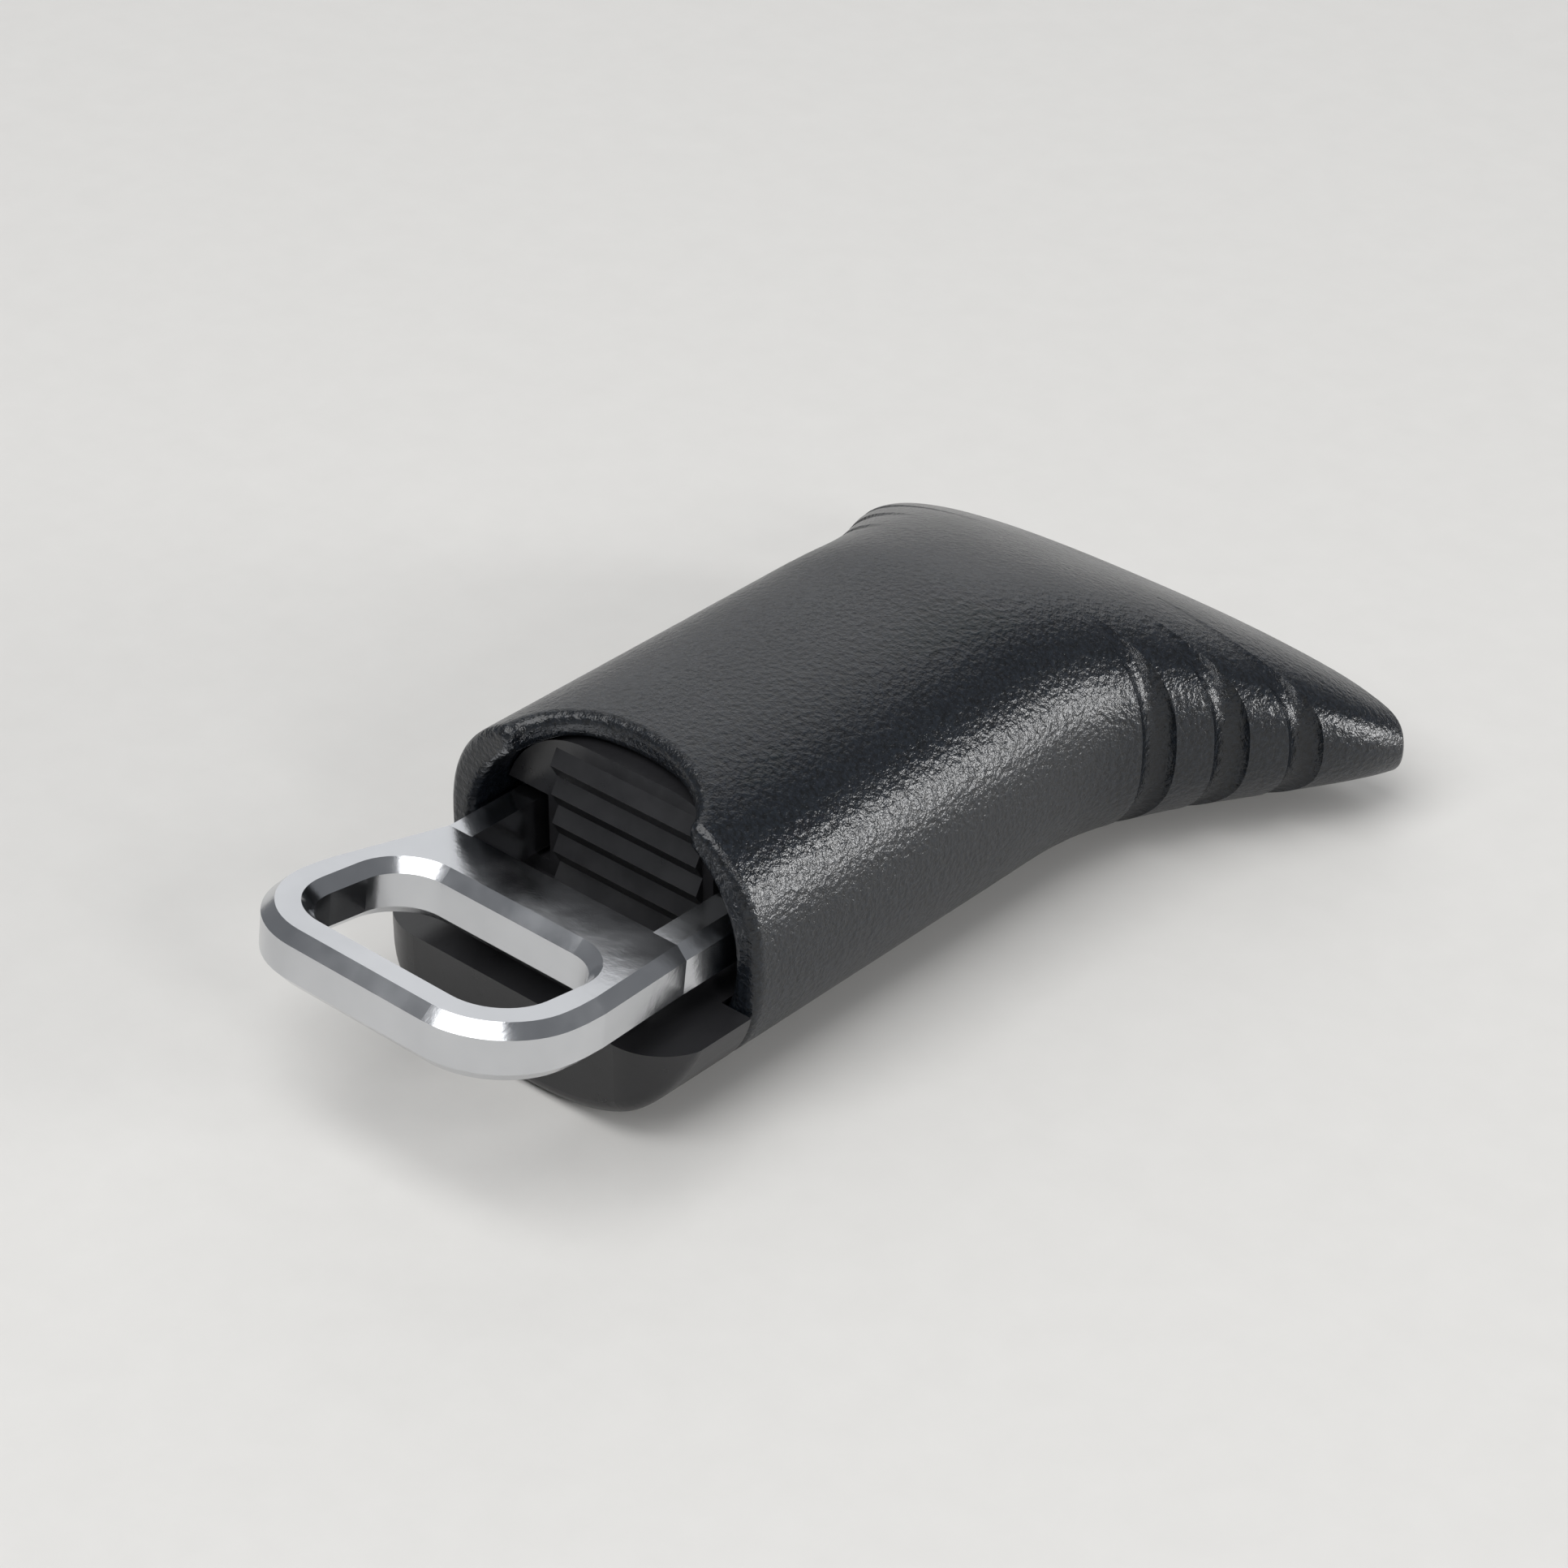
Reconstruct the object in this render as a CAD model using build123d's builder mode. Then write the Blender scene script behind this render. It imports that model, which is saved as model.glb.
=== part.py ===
from build123d import *
from math import copysign, cos, radians, sin
import os

# A pull-to-open cord lock for two 3 mm cords. A sprung metal ring plunger closes
# the cords against a fixed jaw inside an oval plastic barrel. The barrel flares at
# the back into two grip ears, with a bar between them for 15 mm webbing.
#
# Millimetres. The origin is in the gap between the jaws, on the plunger's middle
# plane and at the barrel's mouth. +X is right, -Y is towards the ring, +Z is up,
# along the cords.

# The barrel, and the flat tail that it flares into
barrel_w = 15.0
barrel_h = 11.4
barrel_z = -0.25
fullness = 2.5
wall = 1.15
flare_y = 17.0
flare_power = 1.1
slope_y = 16.5
slope_power = 1.7
tail_y = 31.0
tail_w = 26.0
tail_h = 5.0
tail_z = -3.25
tail_beyond = 0.8
ear_round = 1.6
hollow_half = 9.6
hollow_depth = 0.7
hollow_ease = 6.0
section_count = 16
outline_count = 24
notch_half = 4.3
notch_depth = 2.2
bulkhead_y = 17.4
bulkhead_t = 1.8
mouth_round = 0.4
tail_round = 0.2

# The bore of the barrel and the frame that fills it are ovals with a flat top.
roundness = 0.485

# The webbing's cavity in the tail: its width, height, place along and height above
# the origin at the bulkhead, at the middle and at the mouth of the slot
cavity_front = (12.0, 6.4, bulkhead_y + bulkhead_t, -0.6)
cavity_middle = (16.8, 5.2, 25.6, -1.8)
cavity_mouth = (16.8, 2.8, tail_y + tail_beyond, tail_z)
cavity_corner = 1.2
bar_r = 1.0
bar_y = 26.4
bar_z = -2.0
bar_half = 9.9

# The grip grooves round both shoulders
groove_first_y = 20.9
groove_pitch = 2.6
groove_count = 3
groove_r = 0.75
groove_depth = 0.5
groove_fade = 0.1
groove_reach = 72
groove_step = 12

# The cords and the jaws
cord_hole_r = 1.75
cord_x = 2.1
jaw_y = 1.6
jaw_half = 3.5
rib_depth = 0.35
fixed_rib_pitch = 1.2
fixed_rib_count = 5
fixed_rib_z = 0.6
web_rib_pitch = 0.7
web_rib_count = 3

# The ring plunger
ring_w = 13.6
ring_front_y = -11.7
ring_bar = 1.8
ring_t = 2.2
ring_tilt = 8.0
ring_corner = 3.6
ring_bevel = 0.45
web_front_y = -4.6
web_back_y = -1.9
leg_in = 4.4
leg_out = 5.95
leg_t = 2.2
leg_end_y = 14.2
leg_root = 0.25

# The frame inside the barrel
tongue_y = -4.4
tongue_top = -2.0
tongue_corner = 2.6
tongue_round = 0.6
channel_in = 4.0
frame_pin_r = 0.7
frame_pin_y = 4.1
pocket_r = 2.6
peg_r = 1.3
peg_end_y = 7.3

# The spring and the crosshead
seat_y = 5.2
spring_r = 2.0
wire_r = 0.28
spring_turns = 4.5
cross_y = 11.8
cross_h = 2.4
cross_corner = 0.4
boss_len = 0.8
cross_pin_r = 0.45
cross_pin_in = 2.6
pull_travel = 3.4

# Clearances
fit_gap = 0.1
free_gap = 0.3
pin_gap = 0.02

bore_w = barrel_w - 2 * wall
bore_h = barrel_h - 2 * wall
barrel_low = barrel_z - barrel_h / 2


def share_past(y, start):
    """How far y has gone from start to the end of the tail, from 0 to about 1."""
    return max(0.0, (y - start) / (tail_y - start))


def half_width(y):
    """Half the barrel's width at a place along it."""
    share = min(1.0, share_past(y, flare_y))
    return (barrel_w + (tail_w - barrel_w) * (3 * share**2 - 2 * share**3) ** flare_power) / 2


def half_height(y):
    """Half the barrel's height at a place along it."""
    return (barrel_h - (barrel_h - tail_h) * share_past(y, slope_y) ** slope_power) / 2


def middle_z(y):
    """The height of the section's middle at a place along the barrel."""
    return barrel_z + (tail_z - barrel_z) * share_past(y, slope_y) ** slope_power


def facing_front(y, z=0.0):
    """A plane across the barrel at y, its X to the right and its Y up."""
    return Plane(origin=(0, y, z), x_dir=(1, 0, 0), z_dir=(0, -1, 0))


def outline_point(half_w, half_h, degrees):
    """A point of the barrel's section, which is rounder than a box, fuller than an ellipse."""
    across = cos(radians(degrees))
    up = sin(radians(degrees))
    power = 2 / fullness
    return (
        half_w * copysign(abs(across) ** power, across),
        half_h * copysign(abs(up) ** power, up),
    )


def barrel_outline(y):
    """The points of the barrel's whole section at a place along it, from the bottom round."""
    turns = [360 * i / outline_count - 90 for i in range(outline_count)]
    return [outline_point(half_width(y), half_height(y), turn) for turn in turns]


def groove_outline(y, side):
    """The middle line of a groove, which sinks in at the side and fades out above and below."""
    beyond = groove_r - groove_depth
    rise = groove_r + groove_fade
    turns = range(groove_reach, -groove_reach - 1, -groove_step)
    points = [outline_point(half_width(y) + beyond, half_height(y) + rise, turn) for turn in turns]
    return [(side * across, up) for across, up in points]


def oval(width, height):
    """An oval with a narrow flat top and bottom, added to the current sketch."""
    RectangleRounded(width, height, min(width, height) * roundness)


def at_tail_end(edge):
    """Whether an edge runs round the tail's end face, at its rim or round the slot."""
    on_end = min((edge @ t).Y for t in (0, 0.5, 1)) > tail_y - ear_round - fit_gap
    return on_end and edge.geom_type != GeomType.LINE


def is_low(edge):
    """Whether an edge lies wholly below the tongue's top face."""
    return edge.center().Z < tongue_top - free_gap


def rib_outline(count, pitch, middle, face_y, tip_y):
    """Triangles with their bases on a jaw's face, added to a YZ sketch."""
    for i in range(count):
        z = middle + (i - (count - 1) / 2) * pitch
        Polygon((face_y, z - pitch / 2), (tip_y, z), (face_y, z + pitch / 2), align=None)


# The barrel: the moulded outer shell with its ears, open at the mouth and the tail.
with BuildPart() as barrel_shell:
    for step in range(section_count):
        y = step * (tail_y + tail_beyond) / (section_count - 1)
        with BuildSketch(facing_front(y, middle_z(y))):
            with BuildLine():
                Spline(*barrel_outline(y), periodic=True)
            make_face()
    loft()
    # Seen from above, the tail is cut off square between rounded ears, with a slight
    # hollow where the webbing comes out.
    with BuildSketch(Plane.XY.offset(-barrel_h)) as tail_plan:
        with Locations((0, tail_y / 2)):
            Rectangle(tail_w + 2 * tail_beyond, tail_y)
        fillet(tail_plan.vertices().group_by(Axis.Y)[-1], ear_round + tail_beyond)
        hollow_r = (hollow_half**2 + hollow_depth**2) / (2 * hollow_depth)
        with Locations((0, tail_y - hollow_depth + hollow_r)):
            Circle(hollow_r, mode=Mode.SUBTRACT)
        hollow_ends = tail_plan.vertices().filter_by(lambda v: abs(abs(v.X) - hollow_half) < fit_gap)
        fillet(hollow_ends, hollow_ease)
    extrude(amount=2 * barrel_h, mode=Mode.INTERSECT)
    # The front bore holds the frame.
    with BuildSketch(facing_front(-1, barrel_z)):
        oval(bore_w, bore_h)
    extrude(amount=-(bulkhead_y + 1), mode=Mode.SUBTRACT)
    # The webbing's cavity widens from the bulkhead, then flattens to the slot.
    for near, far in ((cavity_front, cavity_middle), (cavity_middle, cavity_mouth)):
        for width, height, y, z in (near, far):
            with BuildSketch(facing_front(y, z)):
                RectangleRounded(width, height, cavity_corner)
        loft(mode=Mode.SUBTRACT)
    # The mouth has a hollow for the cords at the top and at the bottom.
    with BuildSketch(Plane.XY.offset(-barrel_h)):
        Ellipse(notch_half, notch_depth)
    extrude(amount=2 * barrel_h, mode=Mode.SUBTRACT)
    # The rims of the mouth and of the tail are rounded.
    mouth_edges = barrel_shell.edges().filter_by(
        lambda edge: max(v.Y for v in edge.vertices()) < notch_depth + fit_gap
    )
    fillet(mouth_edges, mouth_round)
    fillet(barrel_shell.edges().filter_by(at_tail_end), tail_round)
    # The grip grooves fade out at the flat top and bottom.
    for index in range(groove_count):
        y = groove_first_y + index * groove_pitch
        for side in (1, -1):
            with BuildLine(facing_front(y, middle_z(y))) as groove_line:
                Spline(*groove_outline(y, side))
            with BuildSketch(Plane(origin=groove_line.line @ 0, z_dir=groove_line.line % 0)):
                Circle(groove_r)
            sweep(path=groove_line.line, mode=Mode.SUBTRACT)
    # The bar is moulded into the ears, and the frame's pin goes in from below.
    with BuildSketch(Plane.YZ.offset(-bar_half)):
        with Locations((bar_y, bar_z)):
            Circle(bar_r + pin_gap)
    extrude(amount=2 * bar_half, mode=Mode.SUBTRACT)
    with BuildSketch(Plane.XY.offset(-barrel_h)):
        with Locations((0, frame_pin_y)):
            Circle(frame_pin_r + pin_gap)
    extrude(amount=barrel_h, mode=Mode.SUBTRACT)
barrel_shell.part.label = "barrel_shell"

# The frame: the smooth inner moulding. Its tongue carries the cord holes, its front
# face is the fixed jaw, and behind that are the spring's pocket and the leg slides.
with BuildPart() as core_frame:
    with BuildSketch(facing_front(jaw_y, barrel_z)):
        oval(bore_w - 2 * fit_gap, bore_h - 2 * fit_gap)
    extrude(amount=-(bulkhead_y - fit_gap - jaw_y))
    # Inside the mouth only the floor of the frame reaches forward to the rim.
    with BuildSketch(facing_front(-fit_gap, barrel_z)):
        oval(bore_w - 2 * fit_gap, bore_h - 2 * fit_gap)
        with Locations((0, tongue_top - barrel_z + barrel_h)):
            Rectangle(2 * barrel_w, 2 * barrel_h, mode=Mode.SUBTRACT)
    extrude(amount=-(jaw_y + fit_gap))
    # In front of the rim the tongue continues the barrel's own outline.
    with BuildSketch(facing_front(notch_depth, barrel_z)) as tongue_outline:
        with BuildLine():
            Spline(*barrel_outline(0), periodic=True)
        make_face()
        with Locations((0, tongue_top - barrel_z + barrel_h)):
            Rectangle(2 * barrel_w, 2 * barrel_h, mode=Mode.SUBTRACT)
    with BuildSketch(Plane.XY.offset(-barrel_h)) as tongue_plan:
        with Locations((0, (tongue_y - fit_gap) / 2)):
            Rectangle(barrel_w, -tongue_y - fit_gap)
        fillet(tongue_plan.vertices().group_by(Axis.Y)[0], tongue_corner)
        Ellipse(notch_half - fit_gap, notch_depth - fit_gap)
    tongue_bar = extrude(
        tongue_outline.sketch, amount=notch_depth - tongue_y, mode=Mode.PRIVATE
    )
    tongue_post = extrude(tongue_plan.sketch, amount=barrel_h, mode=Mode.PRIVATE)
    add(tongue_bar & tongue_post)
    # The tongue's lower front edges are rounded.
    front_edges = core_frame.edges().filter_by(
        lambda edge: max(v.Y for v in edge.vertices()) < tongue_y + tongue_corner + fit_gap
    )
    fillet(front_edges.filter_by(GeomType.LINE, reverse=True).filter_by(is_low), tongue_round)
    # The legs slide in channels down both sides.
    for side in (1, -1):
        with BuildSketch(facing_front(jaw_y - 1)):
            with Locations((side * (channel_in + barrel_w / 2), 0)):
                Rectangle(barrel_w, leg_t + 2 * free_gap)
        extrude(amount=-bulkhead_y, mode=Mode.SUBTRACT)
    # The spring's pocket, with the slot where the crosshead travels.
    with BuildSketch(facing_front(seat_y)):
        Circle(pocket_r)
    extrude(amount=-bulkhead_y, mode=Mode.SUBTRACT)
    with BuildSketch(facing_front(cross_y - pull_travel - free_gap)):
        Rectangle(barrel_w, cross_h + 2 * free_gap)
    extrude(amount=-bulkhead_y, mode=Mode.SUBTRACT)
    with BuildSketch(facing_front(seat_y)):
        Circle(peg_r)
    extrude(amount=-(peg_end_y - seat_y))
    # The fixed jaw's ribs
    with BuildSketch(Plane.YZ.offset(-jaw_half)):
        rib_outline(fixed_rib_count, fixed_rib_pitch, fixed_rib_z, jaw_y, jaw_y - rib_depth)
    extrude(amount=2 * jaw_half)
    # The two cord holes go through the tongue, and the frame's pin enters behind them.
    with BuildSketch(Plane.XY.offset(tongue_top)):
        with Locations((cord_x, 0), (-cord_x, 0)):
            Circle(cord_hole_r)
    extrude(amount=-barrel_h, mode=Mode.SUBTRACT)
    with BuildSketch(Plane.XY.offset(-barrel_h)):
        with Locations((0, frame_pin_y)):
            Circle(frame_pin_r + pin_gap)
    extrude(amount=barrel_h, mode=Mode.SUBTRACT)
core_frame.part.label = "core_frame"

# The plunger: one metal casting. Its ring takes the bag's webbing loop, its web is
# the moving jaw, and its two legs slide in the frame.
ring_plane = Plane(origin=(0, web_back_y, 0), x_dir=(1, 0, 0), z_dir=(0, 0, 1)).rotated(
    (-ring_tilt, 0, 0)
)
with BuildPart() as ring_plunger:
    with BuildSketch(ring_plane.offset(-ring_t / 2)) as ring_outline:
        front = ring_front_y - web_back_y
        with BuildLine():
            Polyline(
                (-leg_out, 0),
                (-ring_w / 2, front + ring_corner + 1),
                (-ring_w / 2, front),
                (ring_w / 2, front),
                (ring_w / 2, front + ring_corner + 1),
                (leg_out, 0),
                close=True,
            )
        make_face()
        fillet(ring_outline.vertices().group_by(Axis.Y)[0], ring_corner)
        with BuildLine():
            Polyline(
                (-ring_w / 2 + ring_bar, web_front_y - web_back_y),
                (-ring_w / 2 + ring_bar, front + ring_bar),
                (ring_w / 2 - ring_bar, front + ring_bar),
                (ring_w / 2 - ring_bar, web_front_y - web_back_y),
                close=True,
            )
        make_face(mode=Mode.SUBTRACT)
        hole_corners = ring_outline.vertices().filter_by(
            lambda v: abs(abs(v.X) - (ring_w / 2 - ring_bar)) < 0.01
        )
        fillet(hole_corners, ring_corner - ring_bar)
    extrude(amount=ring_t)
    chamfer(ring_plunger.edges().filter_by(lambda e: e.center().Y < web_back_y - 0.2), ring_bevel)
    for side in (1, -1):
        with BuildSketch(facing_front(web_back_y - leg_root)):
            with Locations((side * (leg_in + leg_out) / 2, 0)):
                leg_outline = Rectangle(leg_out - leg_in, leg_t)
            outer_corners = leg_outline.vertices().sort_by(lambda v: side * v.X)[-2:]
            chamfer(outer_corners, ring_bevel)
        extrude(amount=-(leg_end_y - web_back_y + leg_root))
    with BuildSketch(Plane.YZ.offset(-jaw_half)):
        rib_outline(
            web_rib_count, web_rib_pitch, 0, web_back_y - rib_depth, web_back_y + rib_depth
        )
    extrude(amount=2 * jaw_half)
    with BuildSketch(Plane.YZ.offset(-barrel_w)):
        with Locations((cross_y + cross_h / 2, 0)):
            Circle(cross_pin_r + pin_gap)
    extrude(amount=2 * barrel_w, mode=Mode.SUBTRACT)
ring_plunger.part.label = "ring_plunger"

# The crosshead joins the two legs behind the spring, and the spring pushes on it.
with BuildPart() as crosshead:
    with BuildSketch(facing_front(cross_y)):
        RectangleRounded(2 * leg_in, cross_h, cross_corner)
    extrude(amount=-(leg_end_y - cross_y))
    with BuildSketch(facing_front(cross_y)):
        Circle(peg_r)
    extrude(amount=boss_len)
    with BuildSketch(Plane.YZ.offset(-barrel_w)):
        with Locations((cross_y + cross_h / 2, 0)):
            Circle(cross_pin_r + pin_gap)
    extrude(amount=barrel_w - cross_pin_in, mode=Mode.SUBTRACT)
    with BuildSketch(Plane.YZ.offset(cross_pin_in)):
        with Locations((cross_y + cross_h / 2, 0)):
            Circle(cross_pin_r + pin_gap)
    extrude(amount=barrel_w, mode=Mode.SUBTRACT)
crosshead.part.label = "crosshead"

# Two short pins hold the crosshead between the legs.
with BuildPart() as crosshead_pins:
    for start in (-leg_out, cross_pin_in):
        with BuildSketch(Plane.YZ.offset(start)):
            with Locations((cross_y + cross_h / 2, 0)):
                Circle(cross_pin_r)
        extrude(amount=leg_out - cross_pin_in)
crosshead_pins.part.label = "crosshead_pins"

# The return spring, pressed between the frame's seat and the crosshead
spring_length = cross_y - seat_y - 2 * wire_r - 2 * pin_gap
with BuildPart() as return_spring:
    with BuildLine() as coil:
        Helix(
            spring_length / spring_turns,
            spring_length,
            spring_r,
            center=(0, seat_y + wire_r + pin_gap, 0),
            direction=(0, 1, 0),
        )
    with BuildSketch(Plane(origin=coil.line @ 0, z_dir=coil.line % 0)):
        Circle(wire_r)
    sweep(path=coil.line, is_frenet=True)
return_spring.part.label = "return_spring"

# The pin that holds the frame in the barrel, driven in from below
with BuildPart() as frame_pin:
    with BuildSketch(Plane.XY.offset(barrel_low + fit_gap)):
        with Locations((0, frame_pin_y)):
            Circle(frame_pin_r)
    extrude(amount=-barrel_low - 2 * fit_gap)
frame_pin.part.label = "frame_pin"

# The bar for the webbing, moulded into both ears
with BuildPart() as webbing_bar:
    with BuildSketch(Plane.YZ.offset(-bar_half)):
        with Locations((bar_y, bar_z)):
            Circle(bar_r)
    extrude(amount=2 * bar_half)
webbing_bar.part.label = "webbing_bar"

os.makedirs("parts", exist_ok=True)
pieces = (
    barrel_shell,
    core_frame,
    ring_plunger,
    crosshead,
    crosshead_pins,
    return_spring,
    frame_pin,
    webbing_bar,
)
for piece in pieces:
    export_step(piece.part, f"parts/{piece.part.label}.step")
    print(piece.part.label, len(piece.part.solids()), round(piece.part.volume, 2))
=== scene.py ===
import math

import bpy
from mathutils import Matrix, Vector

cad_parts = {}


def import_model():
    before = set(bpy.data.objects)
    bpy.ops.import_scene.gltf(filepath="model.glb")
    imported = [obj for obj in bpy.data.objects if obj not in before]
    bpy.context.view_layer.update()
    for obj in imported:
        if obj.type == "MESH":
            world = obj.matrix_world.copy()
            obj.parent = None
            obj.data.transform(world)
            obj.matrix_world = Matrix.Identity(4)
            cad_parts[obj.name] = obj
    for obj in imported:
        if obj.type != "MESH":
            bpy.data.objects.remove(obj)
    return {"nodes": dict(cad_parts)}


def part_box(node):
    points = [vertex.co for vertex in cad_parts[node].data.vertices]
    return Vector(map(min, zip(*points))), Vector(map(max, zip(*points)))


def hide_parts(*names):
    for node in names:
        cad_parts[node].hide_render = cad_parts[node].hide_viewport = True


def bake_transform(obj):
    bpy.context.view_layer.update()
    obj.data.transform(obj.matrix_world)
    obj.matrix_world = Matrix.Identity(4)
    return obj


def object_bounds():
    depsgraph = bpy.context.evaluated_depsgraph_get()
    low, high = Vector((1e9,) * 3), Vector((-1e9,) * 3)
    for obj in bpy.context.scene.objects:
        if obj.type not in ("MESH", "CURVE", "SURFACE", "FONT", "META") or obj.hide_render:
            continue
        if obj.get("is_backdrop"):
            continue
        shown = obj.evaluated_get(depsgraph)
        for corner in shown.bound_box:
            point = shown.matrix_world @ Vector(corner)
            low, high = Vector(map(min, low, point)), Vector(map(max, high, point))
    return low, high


MM = 0.001

# The view
AZIMUTH = math.radians(42.2)
ELEVATION = math.radians(32.6)
LENS_MM = 100.0
FRAME_FILL = 0.84

# The return spring's wire, its whole turns and the straight steps in each turn
WIRE_R = 0.28 * MM
SPRING_TURNS = 6
COIL_STEPS = 40

# The side of the paper sheet under the object
FLOOR_SIDE = 2.0

# Where most of a noise texture's values lie
NOISE_SPAN = (0.3, 0.7)

# Where the colour version of the Mix node keeps its sockets
MIX_FACTOR, MIX_FIRST, MIX_SECOND, MIX_COLOUR = 0, 6, 7, 2

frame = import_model()
nodes = frame["nodes"]
cad_low, cad_high = (Vector(corner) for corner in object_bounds())
centre = (cad_low + cad_high) / 2


# ---------------------------------------------------------------- materials


def new_material(name, **settings):
    """A material whose shader takes the given constant settings, and its shader."""
    material = bpy.data.materials.new(name)
    material.use_nodes = True
    shader = material.node_tree.nodes["Principled BSDF"]
    for socket, value in settings.items():
        shader.inputs[socket.replace("_", " ")].default_value = value
    return material, shader


def add_node(material, kind, **settings):
    """A node of that kind in the material, with its sockets or properties set."""
    node = material.node_tree.nodes.new(kind)
    for key, value in settings.items():
        socket = key.replace("_", " ")
        if socket in node.inputs:
            node.inputs[socket].default_value = value
        else:
            setattr(node, key, value)
    return node


def wire(material, output, target):
    material.node_tree.links.new(output, target)


def grain(material, size_mm, detail=4.0, roughness=0.6, stretch=(1, 1, 1)):
    """Noise in the object's own space, with features of about that size."""
    place = add_node(material, "ShaderNodeTexCoord")
    squeeze = add_node(material, "ShaderNodeMapping", Scale=stretch)
    noise = add_node(
        material,
        "ShaderNodeTexNoise",
        Scale=1 / (size_mm * MM),
        Detail=detail,
        Roughness=roughness,
    )
    wire(material, place.outputs["Object"], squeeze.inputs["Vector"])
    wire(material, squeeze.outputs["Vector"], noise.inputs["Vector"])
    return noise.outputs["Fac"]


def pebbles(material, size_mm):
    """Pebbles of about that size, as the distance from each one's middle."""
    place = add_node(material, "ShaderNodeTexCoord")
    cells = add_node(material, "ShaderNodeTexVoronoi", Scale=1 / (size_mm * MM))
    wire(material, place.outputs["Object"], cells.inputs["Vector"])
    return cells.outputs["Distance"]


def ramp(material, source, span, values):
    """The source's span mapped to a range of values."""
    low, high = span
    low_value, high_value = values
    scale = add_node(
        material,
        "ShaderNodeMapRange",
        From_Min=low,
        From_Max=high,
        To_Min=low_value,
        To_Max=high_value,
    )
    wire(material, source, scale.inputs["Value"])
    return scale.outputs["Result"]


def vary_colour(material, shader, factor, first, second):
    """A base colour between first and second, by factor."""
    mix = add_node(material, "ShaderNodeMix", data_type="RGBA")
    wire(material, factor, mix.inputs[MIX_FACTOR])
    mix.inputs[MIX_FIRST].default_value = (*first, 1)
    mix.inputs[MIX_SECOND].default_value = (*second, 1)
    wire(material, mix.outputs[MIX_COLOUR], shader.inputs["Base Color"])


def vary_roughness(material, shader, noise, values):
    """A roughness that follows the noise over a range of values."""
    wire(material, ramp(material, noise, NOISE_SPAN, values), shader.inputs["Roughness"])


def bump(material, shader, height, depth_mm, strength, under=None):
    """Bump from a height, on top of another bump if one is given."""
    node = add_node(material, "ShaderNodeBump", Strength=strength, Distance=depth_mm * MM)
    wire(material, height, node.inputs["Height"])
    if under:
        wire(material, under.outputs["Normal"], node.inputs["Normal"])
    wire(material, node.outputs["Normal"], shader.inputs["Normal"])
    return node


def barrel_plastic():
    """Black moulded nylon with a glittering spark-eroded grain."""
    material, shader = new_material("barrel_plastic", Specular_IOR_Level=0.5, IOR=1.5)
    fine = grain(material, size_mm=0.17, detail=2.0, roughness=0.7)
    pits = pebbles(material, size_mm=0.28)
    broad = grain(material, size_mm=6.0, detail=2.0)
    vary_colour(
        material,
        shader,
        ramp(material, fine, span=(0.35, 0.68), values=(0, 1)),
        (0.002, 0.0026, 0.0036),
        (0.009, 0.012, 0.017),
    )
    vary_roughness(material, shader, broad, values=(0.24, 0.30))
    soft = bump(material, shader, pits, depth_mm=0.05, strength=0.5)
    bump(material, shader, fine, depth_mm=0.055, strength=0.75, under=soft)
    return material


def frame_plastic():
    """Smoother black plastic, with faint flow marks."""
    material, shader = new_material("frame_plastic", Specular_IOR_Level=0.5, IOR=1.5)
    flow = grain(material, size_mm=1.2, detail=5.0, stretch=(1, 0.25, 1))
    vary_colour(material, shader, flow, (0.010, 0.010, 0.011), (0.022, 0.022, 0.024))
    vary_roughness(material, shader, flow, values=(0.26, 0.38))
    bump(material, shader, flow, depth_mm=0.03, strength=0.4)
    return material


def metal(name, dark, light, roughness, mark_mm, depth_mm, stretch=(1, 1, 1)):
    """Metal whose tone and polish vary in broad clouds, under finer surface marks."""
    material, shader = new_material(name, Metallic=1.0)
    marks = grain(material, mark_mm, detail=6.0, stretch=stretch)
    clouds = grain(material, size_mm=3.0, detail=3.0)
    vary_colour(material, shader, clouds, dark, light)
    vary_roughness(material, shader, clouds, roughness)
    bump(material, shader, marks, depth_mm, strength=0.35)
    return material


STEEL_DARK, STEEL_LIGHT = (0.46, 0.47, 0.49), (0.62, 0.63, 0.65)
finishes = {
    "barrel_shell": barrel_plastic(),
    "core_frame": frame_plastic(),
    "ring_plunger": metal(
        "ring_metal",
        dark=(0.52, 0.53, 0.55),
        light=(0.68, 0.69, 0.71),
        roughness=(0.13, 0.24),
        mark_mm=0.5,
        depth_mm=0.02,
    ),
    "crosshead": metal(
        "crosshead_brass",
        dark=(0.62, 0.44, 0.18),
        light=(0.80, 0.62, 0.30),
        roughness=(0.25, 0.38),
        mark_mm=0.2,
        depth_mm=0.02,
        stretch=(1, 8, 1),
    ),
    "return_spring": metal(
        "spring_steel",
        dark=STEEL_DARK,
        light=STEEL_LIGHT,
        roughness=(0.2, 0.32),
        mark_mm=0.1,
        depth_mm=0.01,
    ),
}
pin_finish = metal(
    "pin_steel",
    dark=STEEL_DARK,
    light=STEEL_LIGHT,
    roughness=(0.22, 0.36),
    mark_mm=0.12,
    depth_mm=0.01,
    stretch=(0.1, 1, 1),
)
for name, node in nodes.items():
    node.data.materials.clear()
    node.data.materials.append(finishes.get(name, pin_finish))


# ---------------------------------------------------------------- the spring


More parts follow.
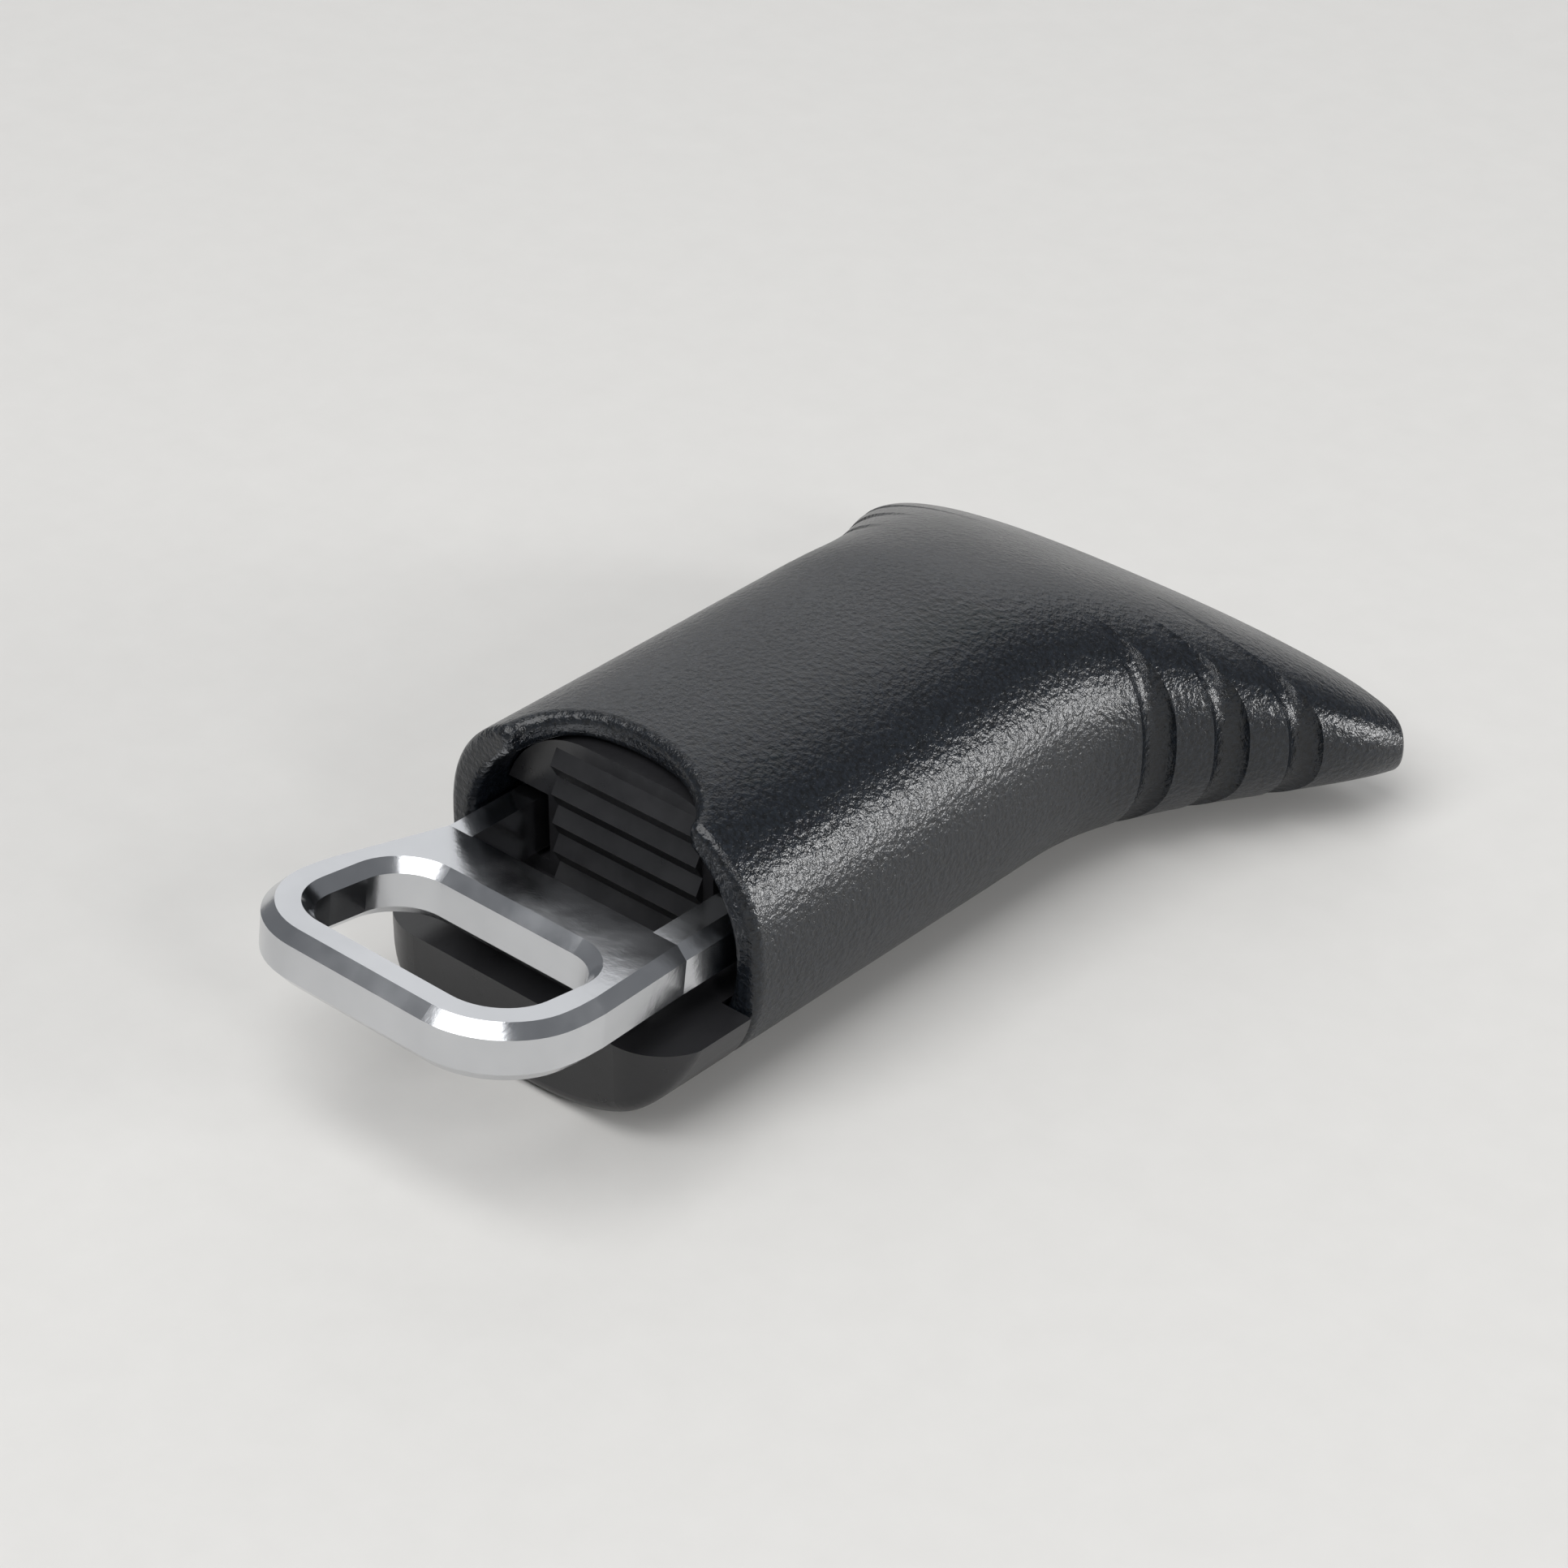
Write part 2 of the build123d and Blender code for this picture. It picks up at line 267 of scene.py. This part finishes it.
def coil_spring():
    """The return spring between the frame and the crosshead, wound from round wire."""
    low, high = (Vector(corner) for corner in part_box("return_spring"))
    outer_r = (high.x - low.x) / 2
    coil_r = outer_r - WIRE_R
    curve = bpy.data.curves.new("coil_spring", "CURVE")
    curve.dimensions = "3D"
    curve.bevel_depth = WIRE_R
    curve.bevel_resolution = 5
    curve.use_fill_caps = True
    line = curve.splines.new("POLY")
    line.points.add(SPRING_TURNS * COIL_STEPS)
    first, last = low.y + WIRE_R, high.y - WIRE_R
    end_rise = 2 * WIRE_R
    for i, point in enumerate(line.points):
        turn = i / COIL_STEPS
        # The first and last turns lie against their neighbours, so the ends sit square.
        closed = min(turn, 1.0) + max(0.0, turn - (SPRING_TURNS - 1))
        open_share = min(1.0, max(0.0, (turn - 1) / (SPRING_TURNS - 2)))
        y = first + end_rise * closed + (last - first - 2 * end_rise) * open_share
        angle = 2 * math.pi * turn
        point.co = (coil_r * math.cos(angle), y, coil_r * math.sin(angle), 1)
    path = bpy.data.objects.new("coil_spring_path", curve)
    mesh = bpy.data.meshes.new_from_object(path)
    bpy.data.objects.remove(path)
    mesh.name = "coil_spring"
    for face in mesh.polygons:
        face.use_smooth = True
    spring = bpy.data.objects.new("coil_spring", mesh)
    bpy.context.scene.collection.objects.link(spring)
    mesh.materials.append(finishes["return_spring"])
    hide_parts("return_spring")
    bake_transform(spring)


coil_spring()


# ---------------------------------------------------------------- the stage


def direction(azimuth, elevation):
    """The unit vector towards an azimuth, counted from the front, and an elevation."""
    return Vector(
        (
            math.sin(azimuth) * math.cos(elevation),
            -math.cos(azimuth) * math.cos(elevation),
            math.sin(elevation),
        )
    )


def floor():
    """A wide pale sheet under the object."""
    bpy.ops.mesh.primitive_plane_add(size=FLOOR_SIDE, location=(0, 0, cad_low.z))
    sheet = bpy.context.object
    sheet.name = "floor"
    material, shader = new_material("floor_paper", Roughness=0.75, Specular_IOR_Level=0.3)
    fibre = grain(material, size_mm=2.0)
    vary_colour(material, shader, fibre, (0.63, 0.62, 0.60), (0.67, 0.66, 0.64))
    sheet.data.materials.append(material)
    sheet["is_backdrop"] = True


def area_light(name, azimuth, elevation, distance, size, power):
    """A square soft light aimed at the object from that direction, in degrees."""
    data = bpy.data.lights.new(name, "AREA")
    data.shape = "SQUARE"
    data.size = size
    data.energy = power
    light = bpy.data.objects.new(name, data)
    bpy.context.scene.collection.objects.link(light)
    towards = direction(math.radians(azimuth), math.radians(elevation))
    light.location = centre + distance * towards
    light.rotation_euler = towards.to_track_quat("Z", "Y").to_euler()


def camera():
    """A long lens at the photograph's angle, far enough back to hold the object."""
    data = bpy.data.cameras.new("camera")
    data.lens = LENS_MM
    data.clip_start = 0.005
    data.clip_end = 20.0
    eye = bpy.data.objects.new("camera", data)
    bpy.context.scene.collection.objects.link(eye)
    back = direction(AZIMUTH, ELEVATION)
    turn = back.to_track_quat("Z", "Y")
    right, up = turn @ Vector((1, 0, 0)), turn @ Vector((0, 1, 0))
    corners = [
        Vector((x, y, z))
        for x in (cad_low.x, cad_high.x)
        for y in (cad_low.y, cad_high.y)
        for z in (cad_low.z, cad_high.z)
    ]
    spans = []
    middle = Vector(centre)
    for side in (right, up):
        reach = [side.dot(corner) for corner in corners]
        spans.append(max(reach) - min(reach))
        middle += side * ((max(reach) + min(reach)) / 2 - side.dot(centre))
    distance = max(spans) / FRAME_FILL * data.lens / data.sensor_width
    eye.location = middle + back * distance
    eye.rotation_euler = turn.to_euler()
    bpy.context.scene.camera = eye


def world():
    """An even pale surround."""
    surround = bpy.data.worlds.new("studio")
    surround.use_nodes = True
    background = surround.node_tree.nodes["Background"]
    background.inputs["Color"].default_value = (0.92, 0.95, 1.0, 1)
    background.inputs["Strength"].default_value = 0.22
    bpy.context.scene.world = surround


floor()
world()
camera()
area_light("front", azimuth=0, elevation=62, distance=0.5, size=0.45, power=2.4)
area_light("side", azimuth=124, elevation=8, distance=0.4, size=0.12, power=1.0)
area_light("back", azimuth=-138, elevation=35, distance=0.4, size=0.42, power=0.42)
area_light("rim", azimuth=70, elevation=28, distance=0.4, size=0.08, power=0.3)
bpy.context.scene.view_settings.view_transform = "Standard"
